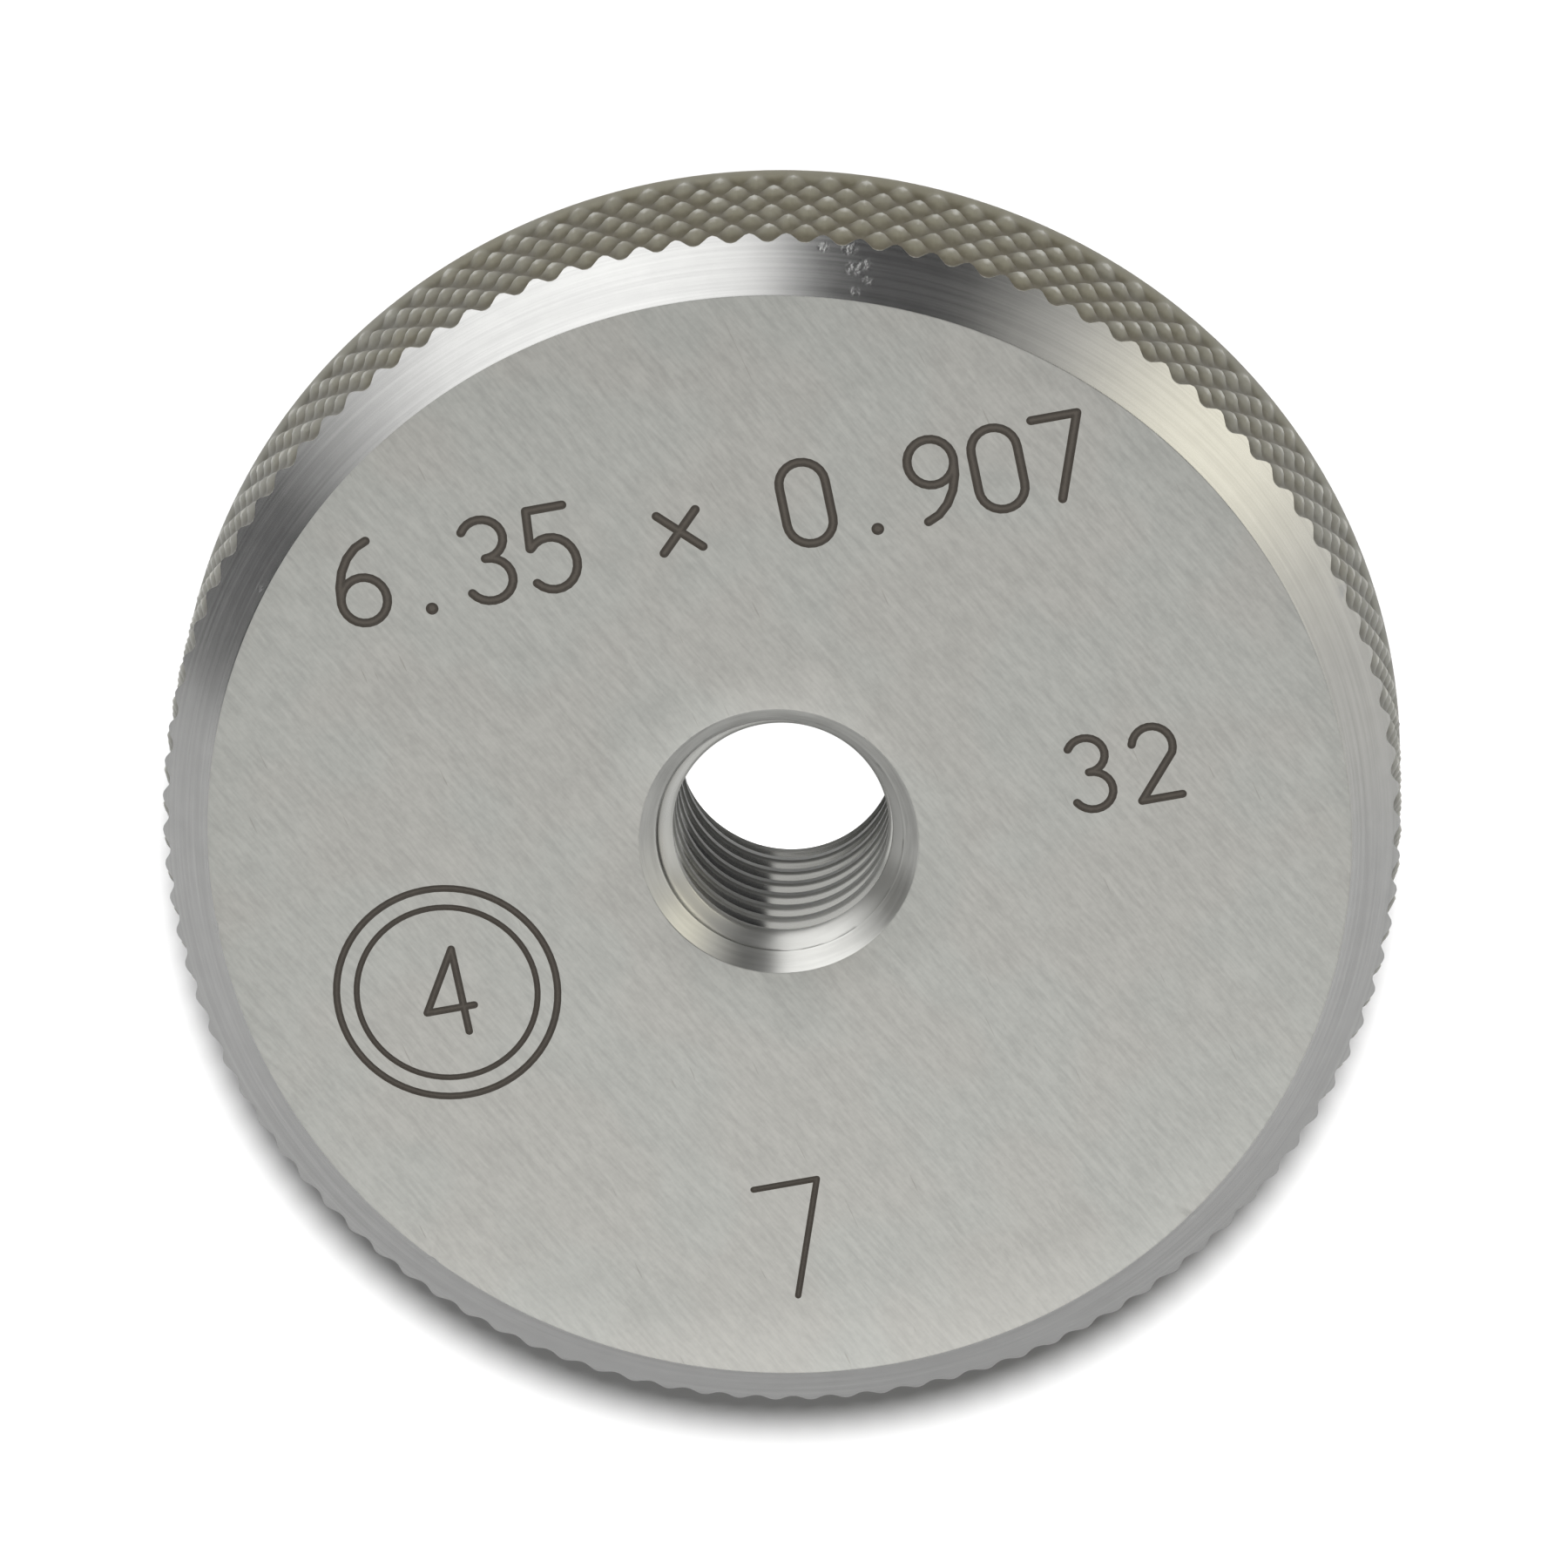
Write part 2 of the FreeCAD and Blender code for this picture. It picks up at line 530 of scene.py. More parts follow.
def arc(x, y, wide, high, start, end):
    """Part of an ellipse: x + wide cos t, y + high sin t, with t from start to end, 15 degrees a step."""
    steps = max(3, round(abs(end - start) / 15) + 1)
    t = np.radians(np.linspace(start, end, steps))
    return np.stack([x + wide * np.cos(t), y + high * np.sin(t)], axis=1)


GLYPH_WIDTH = 0.54
middle = GLYPH_WIDTH / 2
SIX = [arc(middle, 0.28, middle, 0.28, 0, 360), arc(0.52, 0.28, 0.52, 0.72, 180, 100)]
GLYPHS = {
    "0": [
        arc(middle, 0.73, middle, 0.27, 0, 180),
        line((0, 0.73), (0, 0.27)),
        arc(middle, 0.27, middle, 0.27, 180, 360),
        line((GLYPH_WIDTH, 0.27), (GLYPH_WIDTH, 0.73)),
    ],
    "2": [
        arc(middle, 0.72, middle, 0.28, 165, -25),
        line((0.515, 0.6), (0, 0)),
        line((0, 0), (GLYPH_WIDTH, 0)),
    ],
    "3": [arc(0.25, 0.76, 0.25, 0.24, 150, -90), arc(0.25, 0.26, 0.27, 0.26, 90, -150)],
    "4": [line((0.42, 0), (0.42, 1)), line((0.42, 1), (0, 0.3)), line((0, 0.3), (GLYPH_WIDTH, 0.3))],
    "5": [
        line((0.5, 1), (0.07, 1)),
        line((0.07, 1), (0.03, 0.54)),
        arc(0.25, 0.32, 0.29, 0.32, 137, -140),
    ],
    "6": SIX,
    "7": [line((0, 1), (GLYPH_WIDTH, 1)), line((GLYPH_WIDTH, 1), (0.18, 0))],
    "9": [(GLYPH_WIDTH, 1) - stroke for stroke in SIX],
    ".": [arc(middle, 0.035, 0.02, 0.02, 0, 360)],
    "×": [line((0.04, 0.2), (0.5, 0.66)), line((0.04, 0.66), (0.5, 0.2))],
    " ": [],
}
print("digits and signs:", " ".join(GLYPHS))

# %% Place the marks
strokes = []


def write(text, centre, height, advance, width):
    """Adds a line of text, read along +X, with its middle at centre. Sizes are in millimetres."""
    length = advance * (len(text) - 1) + GLYPH_WIDTH * height
    corner = np.array(centre) - [length / 2, height / 2]
    for place, character in enumerate(text):
        for stroke in GLYPHS[character]:
            strokes.append((corner + [advance * place, 0] + stroke * height, width / 2))


def circle(centre, radius, width):
    """Adds a round stroke."""
    steps = np.radians(np.linspace(0, 360, 73))
    ring = radius * np.stack([np.cos(steps), np.sin(steps)], axis=1)
    strokes.append((np.array(centre) + ring, width / 2))


write("6.35 × 0.907", centre=(0, 8.86), height=2.2, advance=1.66, width=0.24)
write("32", centre=(9.07, 0.35), height=1.95, advance=1.68, width=0.22)
write("7", centre=(-1.7, -10.83), height=3.1, advance=0, width=0.17)
stamp_centre = (-9.24, -2.48)
circle(stamp_centre, radius=2.86, width=0.19)
circle(stamp_centre, radius=2.34, width=0.16)
write("4", centre=stamp_centre, height=2.3, advance=0, width=0.2)
print("%d strokes" % len(strokes))

# %% [markdown]
# ### Cutting the strokes into the face
#
# The face is a flat ring that must hold the strokes' outlines as edges. Blender has a
# constrained triangulation for that: given points and the edges it must keep, it fills the
# rest with triangles. Each stroke gives it three lines: its outline, the same outline drawn in
# by the slope of the etched wall, and its centre line. The depth of a point is then a
# formula of its distance to the nearest stroke: nothing outside, the full depth inside,
# and a straight slope between.

# %% Outlines and depth of the strokes
etch_depth = 0.03
etch_wall = 0.045


def outline(path, offset):
    """Closed line at that distance from a path: both sides, moved along the normals, and round ends."""
    ahead = np.gradient(path, axis=0)
    ahead /= np.linalg.norm(ahead, axis=1, keepdims=True)
    normal = np.stack([-ahead[:, 1], ahead[:, 0]], axis=1)

    def cap(end, direction):
        """Half a circle round an end, from its left side to its right one."""
        turn = np.radians(np.linspace(90, -90, 9))[1:-1, None]
        side = np.array([-direction[1], direction[0]])
        return end + offset * (np.cos(turn) * direction + np.sin(turn) * side)

    left = path + offset * normal
    right = path - offset * normal
    return np.vstack([left, cap(path[-1], ahead[-1]), right[::-1], cap(path[0], -ahead[0])])


def distance_to_path(points, path):
    """Distance from each point to the nearest straight piece of a path, by projection onto the piece."""
    start, step = path[:-1], np.diff(path, axis=0)
    from_start = points[:, None, :] - start
    share = (from_start * step).sum(axis=2) / (step**2).sum(axis=1)
    gap = from_start - np.clip(share, 0, 1)[:, :, None] * step
    return np.sqrt((gap**2).sum(axis=2)).min(axis=1)


def inside_strokes(points):
    """How far inside the nearest stroke's edge each point lies, in millimetres; below 0 outside."""
    return np.max([half_width - distance_to_path(points, path) for path, half_width in strokes], axis=0)


widest_half = max(half_width for _, half_width in strokes)
print("etched %.3f mm deep, lines up to %.2f mm wide" % (etch_depth, 2 * widest_half))

# %% Fill a face between its edge, its hole and its marks
FILL_STEP = 1.3              # mm between the points that fill a face
WHOLE_FACE = 0               # the triangulation's output: triangles, with those over the hole
NEAR = 1e-6                  # mm within which two points count as one


def filling_points(inner, outer):
    """Points of a triangular lattice between two radii, which keep the face's triangles well shaped."""
    reach = np.arange(-outer, outer, FILL_STEP)
    x, y = np.meshgrid(reach, reach * math.sqrt(0.75))
    x[1::2] += FILL_STEP / 2
    points = np.stack([x.ravel(), y.ravel()], axis=1)
    radius = np.linalg.norm(points, axis=1)
    return points[(radius > inner) & (radius < outer)]


def filled_face(hole_radius, paths):
    """Triangles of a flat ring from the hole to flat_radius that keep the given closed or open paths."""
    rings = [
        round_axis(column_angles[:-1], flat_radius, 0)[:, :2],
        round_axis(hole_angles[:-1], hole_radius, 0)[:, :2],
    ]
    points, edges, count = [], [], 0
    for path, closed in [(ring, True) for ring in rings] + paths:
        numbers = count + np.arange(len(path))
        ends = np.roll(numbers, -1) if closed else numbers[1:]
        edges.append(np.stack([numbers[: len(ends)], ends], axis=1))
        points.append(path)
        count += len(path)
    points.append(filling_points(hole_radius + FILL_STEP / 2, flat_radius - FILL_STEP / 2))
    vectors = [Vector(point) for point in np.vstack(points)]
    found = delaunay_2d_cdt(vectors, np.vstack(edges).tolist(), [], WHOLE_FACE, NEAR)
    flat_points = np.array([tuple(point) for point in found[0]])
    triangles = np.array(found[2])
    middles = flat_points[triangles].mean(axis=1)
    inside_hole = np.linalg.norm(middles, axis=1) < hole_radius * math.cos(math.pi / HOLE_COLUMNS)
    return flat_points, triangles[~inside_hole]


mark_paths = [(outline(path, half), True) for path, half in strokes]
mark_paths += [(outline(path, half - etch_wall), True) for path, half in strokes]
mark_paths += [(path, False) for path, half in strokes]
flat_points, triangles = filled_face(front_hole_radius, mark_paths)
depth_inside = inside_strokes(flat_points)
etched = np.clip(depth_inside / etch_wall, 0, 1)
heights = ring_width - etch_depth * etched
marked = inside_strokes(flat_points[triangles].mean(axis=1)) > 0
face_finishes = np.where(marked, FINISHES.index("etched_mark"), FINISHES.index("ground_face"))
face_points = np.column_stack([flat_points, heights])
add_surface(face_points, triangles, face_finishes, etch=np.clip(depth_inside / widest_half, 0, 1))
print("marked face: %d triangles, %d of them in the marks" % (len(triangles), marked.sum()))

# %% Fill the plain rear face
flat_points, triangles = filled_face(rear_hole_radius, [])
rear_points = np.column_stack([flat_points, np.zeros(len(flat_points))])
add_surface(rear_points, triangles[:, ::-1], FINISHES.index("ground_face"))
print("rear face: %d triangles" % len(triangles))

# %% [markdown]
# ## One closed mesh
#
# The surfaces now become one mesh, and points that fall together are merged. Smooth shading
# would smear light over real edges, so every edge is tested: it stays sharp if its two faces
# meet at more than a set angle, or have different finishes. The same list shows whether the
# surface is closed, because then each edge has exactly two faces.

# %% Join the surfaces
SAME_PLACE = 0.0002          # mm


def joined_mesh(name):
    """One mesh in metres from all the surfaces, with doubles merged and its faces' finishes set."""
    counts = [len(points) for points, *_ in surfaces]
    starts = np.cumsum([0] + counts[:-1])
    vertices = np.vstack([points for points, *_ in surfaces]) * MM
    faces = [face for start, (_, faces, *_) in zip(starts, surfaces) for face in (faces + start).tolist()]
    mesh = bpy.data.meshes.new(name)
    mesh.from_pydata(vertices.tolist(), [], faces)
    mesh.polygons.foreach_set("material_index", np.concatenate([f for _, _, f, _ in surfaces]).astype("i"))
    etch = mesh.attributes.new("etch", "FLOAT", "POINT")
    etch.data.foreach_set("value", np.concatenate([e for *_, e in surfaces]).astype("f"))
    work = bmesh.new()
    work.from_mesh(mesh)
    bmesh.ops.remove_doubles(work, verts=work.verts, dist=SAME_PLACE * MM)
    work.to_mesh(mesh)
    print("volume %.1f mm3" % (work.calc_volume(signed=True) / MM**3))
    work.free()
    return mesh


ring_mesh = joined_mesh("gauge_ring_finished")

# %% Keep the real edges sharp
SHARP_ANGLE = math.radians(32)


def read(items, name, kind, each=1):
    """One property of all items as an array, with that many numbers of each item."""
    values = np.empty(each * len(items), kind)
    items.foreach_get(name, values)
    return values


def mark_sharp_edges(mesh, angle):
    """Finds the two faces of every edge with one sort of the loops, and keeps sharp edges sharp."""
    loop_edges = read(mesh.loops, "edge_index", "i")
    totals = read(mesh.polygons, "loop_total", "i")
    normals = read(mesh.polygons, "normal", "f", each=3).reshape(-1, 3)
    finish = read(mesh.polygons, "material_index", "i")
    uses = np.bincount(loop_edges, minlength=len(mesh.edges))
    open_edges = int((uses != 2).sum())
    print("edges that don't have two faces:", open_edges)
    if open_edges:
        return
    loop_faces = np.repeat(np.arange(len(totals)), totals)
    pairs = loop_faces[np.argsort(loop_edges, kind="stable")].reshape(-1, 2)
    cosine = (normals[pairs[:, 0]] * normals[pairs[:, 1]]).sum(axis=1)
    other_finish = finish[pairs[:, 0]] != finish[pairs[:, 1]]
    sharp = mesh.attributes.new("sharp_edge", "BOOLEAN", "EDGE")
    sharp.data.foreach_set("value", (cosine < math.cos(angle)) | other_finish)


ring_mesh.shade_smooth()
mark_sharp_edges(ring_mesh, SHARP_ANGLE)
ring_mesh.calc_loop_triangles()
print("%d points, %d triangles" % (len(ring_mesh.vertices), len(ring_mesh.loop_triangles)))

# %% [markdown]
# ### In the plain ring's place
#
# The new surface stands for the whole ring of the construction, so it rides on the same body
# and takes the plain ring's place in every view.

# %% Put the ring in the frame
gauge = add_to_scene("gauge_ring_finished", ring_mesh)
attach(gauge, "root")
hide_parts("gauge_ring")
print("pieces:", gauge.name)

# %% [markdown]
# ## Writing shader maths as formulas
#
# A pattern on a surface is a formula, but a node tree spreads it over many boxes. The small
# class below wraps one output of a node and gives it Python's own operators, so that
# `1 - mask` or `lines * 0.3 + 0.2` adds the Math nodes that say so. Every other node comes from
# one method, which takes the node's type, its settings and what its sockets hold.

# %% A small language for nodes
OBJECT_PLACE = 3         # the Texture Coordinate node's output for the place on the object


class Signal:
    """One output of a node. Arithmetic on it adds Math nodes and gives their output."""

    def __init__(self, nodes, socket):
        self.nodes = nodes
        self.socket = socket

    def __add__(self, other):
        return self.nodes.math("ADD", self, other)

    def __sub__(self, other):
        return self.nodes.math("SUBTRACT", self, other)

    def __rsub__(self, other):
        return self.nodes.math("SUBTRACT", other, self)

    def __mul__(self, other):
        return self.nodes.math("MULTIPLY", self, other)

    def __truediv__(self, other):
        return self.nodes.math("DIVIDE", self, other)

    def __rtruediv__(self, other):
        return self.nodes.math("DIVIDE", other, self)

    __radd__ = __add__
    __rmul__ = __mul__


class Nodes:
    """The node tree of a material or a world."""

    def __init__(self, owner):
        owner.use_nodes = True
        self.tree = owner.node_tree
        self.tree.nodes.clear()

    def node(self, kind, inputs=None, output=0, stops=None, **settings):
        """Adds a node with its settings, a ramp's stops and its sockets' values, and gives an output."""
        made = self.tree.nodes.new("ShaderNode" + kind)
        for name, value in settings.items():
            setattr(made, name, value)
        if stops:
            ramp = made.color_ramp
            ramp.elements.remove(ramp.elements[-1])
            ramp.elements[0].position, ramp.elements[0].color = stops[0][0], (*stops[0][1], 1)
            for place, colour in stops[1:]:
                ramp.elements.new(place).color = (*colour, 1)
        for name, value in (inputs or {}).items():
            if isinstance(value, Signal):
                self.tree.links.new(value.socket, made.inputs[name])
            else:
                made.inputs[name].default_value = value
        return Signal(self, made.outputs[output]) if made.outputs else None

    def math(self, operation, *values):
        """One step of arithmetic on numbers."""
        return self.node("Math", dict(enumerate(values)), operation=operation)

    def vector(self, operation, *values, output=0):
        """One step of arithmetic on places. Output 1 is the number that a length or a distance gives."""
        return self.node("VectorMath", dict(enumerate(values)), output, operation=operation)

    def scaled(self, vector, factor):
        """A place moved away from the origin by that factor."""
        return self.node("VectorMath", {0: vector, "Scale": factor}, operation="SCALE")

    def mix(self, factor, first, second):
        """Colour that goes from first to second as factor goes from 0 to 1.

        The Mix node has sockets for every kind of value, and 6, 7 and output 2 are those for colours."""
        first, second = (c if isinstance(c, Signal) else (*c, 1) for c in (first, second))
        return self.node("Mix", {0: factor, 6: first, 7: second}, 2, data_type="RGBA")

    def step(self, value, low, high):
        """0 below low, 1 above high, and a smooth S between them."""
        inputs = {"Value": value, "From Min": low, "From Max": high}
        return self.node("MapRange", inputs, interpolation_type="SMOOTHSTEP")

    def noise(self, place, detail=3):
        """Cloudy pattern from 0 to 1, mostly near 0.5, whose clouds are about one unit of place wide."""
        return self.node("TexNoise", {"Vector": place, "Scale": 1, "Detail": detail, "Roughness": 0.55})

    def bump(self, height, depth):
        """Normal of a surface that stands up by height x depth, with depth in millimetres."""
        return self.node("Bump", {"Height": height, "Distance": depth * MM, "Strength": 1})


# %% [markdown]
# ## Places on the ring
#
# Every pattern here follows from how a surface was machined, so it starts from a place on the
# ring: along and across the grinding wheel's travel on the faces, and round and outwards from
# the axis where the lathe worked. Both are worked out from Object coordinates, which stay with
# the steel.

# %% Places for the patterns


class RingFinish(Nodes):
    """A material of the ring, with the places that its patterns are drawn on."""

    def __init__(self, name):
        self.material = bpy.data.materials.new(name)
        super().__init__(self.material)
        self.place_mm = self.scaled(self.node("TexCoord", output=OBJECT_PLACE), 1 / MM)
        self.flat_place = self.vector("MULTIPLY", self.place_mm, (1, 1, 0))
        self.radius = self.vector("LENGTH", self.flat_place, output=1)

    def height(self):
        """Height over the table in millimetres."""
        return self.node("SeparateXYZ", {0: self.place_mm}, output=2)

    def spots(self, size, detail):
        """Round noise whose spots are that many millimetres wide."""
        return self.noise(self.scaled(self.place_mm, 1 / size), detail)

    def grain(self, angle, length, width, detail=3):
        """Noise whose grains lie at that angle and have that length and width in millimetres."""
        inputs = {"Vector": self.place_mm, "Rotation": (0, 0, angle), "Scale": (length, width, width)}
        return self.noise(self.node("Mapping", inputs, vector_type="TEXTURE"), detail)

    def turning_lines(self, width, length):
        """Noise in rings: (x / r, y / r) tells the angle and r / width the ring, so lines run round."""
        round_place = self.scaled(self.flat_place, ring_radius / length / self.radius)
        ring = self.node("CombineXYZ", {"Z": self.radius / width})
        return self.noise(self.vector("ADD", round_place, ring), detail=2)

    def steel(self, colour, roughness, normal=None, metallic=1.0, anisotropic=0.0):
        """Ends the tree: one Principled shader, whose constant numbers are set on its own sockets."""
        inputs = {
            "Base Color": colour if isinstance(colour, Signal) else (*colour, 1),
            "Metallic": metallic,
            "Roughness": roughness,
            "Anisotropic": anisotropic,
            "Anisotropic Rotation": 0.25,
        }
        if normal:
            inputs["Normal"] = normal
        shader = self.node("BsdfPrincipled", inputs)
        self.node("OutputMaterial", {"Surface": shader})
        ring_mesh.materials.append(self.material)
        print("finish:", self.material.name, len(self.tree.nodes), "nodes")


# %% [markdown]
# ## Ground faces
#
# A surface grinder leaves short, straight, nearly parallel scratches over a faintly blotched
# grey. Two noises stretched along the wheel's travel give a fine grain and a stronger, coarse
# one, and round noises give speckle, blotches and two tints of grey. Together they stay within
# about a tenth of the grey, as on the real face. A few deeper scratches come from one more
# stretched noise where it passes a high threshold.

# %% Finish of the faces
GRAIN_ANGLE = math.radians(-62.7)
WARM_GREYS = [(0.342, 0.338, 0.322), (0.433, 0.428, 0.407)]      # darkest and lightest
COOL_GREYS = [(0.339, 0.341, 0.326), (0.430, 0.432, 0.412)]
SCRATCH = (0.22, 0.21, 0.19)


def ground_face():
    """Straight grain: 0.3 fine + 0.4 coarse + 0.1 blotches + 0.2 speckle picks grey and roughness."""
    finish = RingFinish("ground_face")
    fine = finish.grain(GRAIN_ANGLE, length=0.5, width=0.07)
    coarse = finish.grain(GRAIN_ANGLE + 0.05, length=1.1, width=0.2)
    speckle = finish.spots(0.16, detail=2)
    blotches = finish.spots(1.6, detail=2)
    tints = finish.spots(3.5, detail=1)
    scratches = finish.grain(GRAIN_ANGLE - 0.25, length=1.1, width=0.07, detail=0)
    deep = finish.step(scratches, 0.83, 0.88)
    shade = fine * 0.3 + coarse * 0.4 + blotches * 0.1 + speckle * 0.2
    lightness = finish.step(shade, 0.32, 0.68)
    warm, cool = (finish.mix(lightness, *greys) for greys in (WARM_GREYS, COOL_GREYS))
    colour = finish.mix(finish.step(tints, 0.42, 0.58), warm, cool)
    colour = finish.mix(deep * 0.35, colour, SCRATCH)
    normal = finish.bump(fine * 0.6 + coarse * 0.4 - deep * 0.5, 0.003)
    finish.steel(colour, shade * 0.2 + 0.26, normal)


ground_face()

# %% [markdown]
# ## Turned chamfers and countersinks
#
# A lathe tool leaves a very fine spiral. Light is spread across it and not along it, so a turned
# cone shows bands that run straight down the slope, bright and dark by turns. The Principled
# shader does this with Anisotropic. Without a tangent of its own it spreads light along the
# direction round the object's Z axis, which is the way that the tool went, so a rotation of a
# quarter turn makes it spread light across.
#
# Scuffs are knocks too shallow for the mesh. They are small patches where a fine noise pits the
# turned lines, and they break up the reflection.

# %% Finish of the turned surfaces
PITTING = 9              # how much higher a scuff's pits are than the turned lines


def scuffed(finish, scuffs):
    """Mask, 1 near each scuff's middle and 0 beyond its size. The scuffs lie on the front chamfer."""
    mask = 0
    for degrees, radius, size in scuffs:
        height = ring_width - (radius - face_edge_radius)
        middle = round_axis(math.radians(degrees) - picture_turn, radius, height)[0]
        gap = finish.vector("DISTANCE", finish.place_mm, tuple(middle), output=1)
        mask = mask + finish.step(gap, size, size * 0.3)
    return mask


def turned(name, colour, roughness, line_width, depth, anisotropic=0.6, scuffs=()):
    """Rings of noise: 0.45 lines + 0.35 broad + 0.2 wear picks the tone, and the lines are in relief."""
    finish = RingFinish(name)
    lines = finish.turning_lines(line_width, length=6)
    broad = finish.turning_lines(line_width * 5, length=20)
    wear = finish.spots(0.7, detail=4)
    shade = lines * 0.45 + broad * 0.35 + wear * 0.2
    dark = tuple(c * 0.9 for c in colour)
    light = tuple(c * 1.08 for c in colour)
    colour = finish.mix(finish.step(shade, 0.35, 0.65), dark, light)
    height = lines * 0.6 + broad * 0.4
    if scuffs:
        pits = finish.spots(0.12, detail=4)
        height = height + (pits - 0.5) * scuffed(finish, scuffs) * PITTING
    normal = finish.bump(height, depth)
    finish.steel(colour, shade * 0.16 + (roughness - 0.08), normal, anisotropic=anisotropic)


# %% Finish of the chamfers
# Place in the picture's degrees and distance from the axis, then size in mm
SCUFFS = [
    (83.2, 15.75, 0.28),
    (82.6, 15.35, 0.3),
    (81.5, 15.47, 0.25),
    (81.2, 15.15, 0.22),
    (82.2, 14.9, 0.2),
    (85.6, 15.72, 0.2),
    (153.0, 14.85, 0.16),
    (189.5, 14.75, 0.2),
    (231.0, 14.75, 0.25),
    (299.0, 15.5, 0.2),
]
turned("turned_chamfer", (0.3, 0.3, 0.296), roughness=0.24, line_width=0.05, depth=0.002, scuffs=SCUFFS)

# %% [markdown]
# ## The knurled rim
#
# Rolling leaves the tops of the diamonds bright and burnished, while the grooves between them
# keep scale and oil and go brown. The tops' light colour is burnished steel and partly painted
# highlight. How high a point stands is told by its distance from the axis, from the bottom of
# the grooves to the ring's own radius, and that one number mixes the colours and the roughness.
# A second pair of darker, browner colours comes in by the direction from the axis: that is
# painted shade, which darkens the rim towards the top of the picture. The plain land behind was
# never rolled and stays dull, while handling has worn a thin bright edge along the front chamfer.

# %% Finish of the knurl
PLAIN_KNURL = [(0.115, 0.112, 0.098), (0.232, 0.23, 0.208)]      # in the grooves and on the teeth
# Darker, browner pair of colours: painted shade towards the top of the picture
PAINTED_SHADE_KNURL = [(0.098, 0.086, 0.056), (0.195, 0.184, 0.14)]
# Light colour of the teeth's tops and of the edge under the chamfer: burnished steel, and on the tops also
# painted highlight
BURNISHED_AND_HIGHLIGHT = (0.37, 0.365, 0.325)
# Where, in the picture, the painted shade is darkest
painted_shade_angle = math.radians(86) - picture_turn


def knurled_rim():
    """Colours by the rise from a groove's bottom to a tooth's top: (radius - groove radius) / depth."""
    finish = RingFinish("knurled_rim")
    rise = (finish.radius - groove_radius) / knurl_depth
    patches = finish.spots(0.5, detail=3)
    broad = finish.spots(1.6, detail=2)
    uneven = rise + (patches - 0.5) * 0.6
    on_teeth = finish.step(uneven, 0.0, 0.7)
    plain, shaded = (finish.mix(on_teeth, *pair) for pair in (PLAIN_KNURL, PAINTED_SHADE_KNURL))
    # Painted shade: the colours go darker and browner towards the top of the picture
    most_shaded = tuple(round_axis(painted_shade_angle, 1 / ring_radius, 0)[0])
    towards_shade = finish.vector("DOT_PRODUCT", finish.flat_place, most_shaded, output=1)
    painted_shade = finish.step(towards_shade + (broad - 0.5) * 0.8, 0.2, 1.1)
    colour = finish.mix(painted_shade, plain, shaded)
    height = finish.height()
    knurled = finish.step(height, *(knurl_start + row * row_height for row in (land_end, knurl_full)))
    under_chamfer = ring_width + face_edge_radius - finish.radius - height
    # Lighter teeth's tops: burnished steel with painted highlight; the thin bright edge under the front
    # chamfer is wear
    worn_and_highlight = finish.step(uneven, 0.75, 1.0) * knurled + finish.step(under_chamfer, 0.1, 0.02) * 0.7
    colour = finish.mix(worn_and_highlight, colour, BURNISHED_AND_HIGHLIGHT)
    roughness = 0.54 - finish.step(uneven, 0.5, 1.0) * knurled * 0.16
    finish.steel(colour, roughness, finish.bump(patches, 0.01), metallic=0.85)


knurled_rim()

# %% [markdown]
# ## Inside the hole
#
# The lip and the cones were turned like the chamfers, but less smoothly. A rough turned surface
# takes its light from a tall, narrow fan of directions, so the gaps between the studio's panels
# show as soft dark streaks down the cones.
#
# The thread's grid runs from cone to cone and takes in a strip of each. How far a point lies
# under a cone therefore tells the thread from the cones. In the thread only the flanks are
# smooth and bright: the roots hold oil, and the crests are dull, so both show as dark lines.

# %% Finish of the lip and the cones
turned("turned_bore", (0.54, 0.54, 0.524), roughness=0.37, line_width=0.06, depth=0.003, anisotropic=0.9)

# %% Finish of the thread
CONE_STEEL = (0.48, 0.48, 0.466)
FLANK_STEEL = (0.42, 0.42, 0.405)
OILY_ROOT = (0.24, 0.235, 0.22)
DULL_CREST = (0.24, 0.24, 0.23)
run_out = (0.08, 0.3)        # mm under a cone: where the thread starts to show, and where it is whole


def cut_thread():
    """Masks by place: the cones, then roots and crests by the distance from the axis."""
    finish = RingFinish("cut_thread")
    height = finish.height()
    under_front_cone = finish.radius + (ring_width - front_lip_depth - front_step_radius) - height
    over_rear_cone = finish.radius + height - rear_mouth_radius
    threaded = finish.step(under_front_cone, *run_out) * finish.step(over_rear_cone, *run_out)
    root = threaded * finish.step(finish.radius, crest_radius + 0.15, root_radius)
    crest = threaded * finish.step(finish.radius, crest_radius + 0.1, crest_radius + 0.03)
    lines = finish.turning_lines(0.06, length=6)
    colour = finish.mix(threaded, CONE_STEEL, FLANK_STEEL)
    colour = finish.mix(root, colour, OILY_ROOT)
    colour = finish.mix(crest, colour, DULL_CREST)
    roughness = lines * 0.12 + 0.31 - threaded * 0.19 + crest * 0.25
    normal = finish.bump(lines, 0.002)
    finish.steel(colour, roughness, normal, metallic=1 - crest * 0.6, anisotropic=0.85)


cut_thread()

# %% [markdown]
# ## Etched marks
#
# Etching leaves a dull dark brown floor, blackest along the walls of each line and a little
# lighter down its middle. The mesh carries the depth inside a line as an attribute, so the
# shade follows the strokes.

# %% Finish of the marks
ETCHED_WALL = (0.045, 0.037, 0.029)
ETCHED_FLOOR = (0.085, 0.072, 0.06)


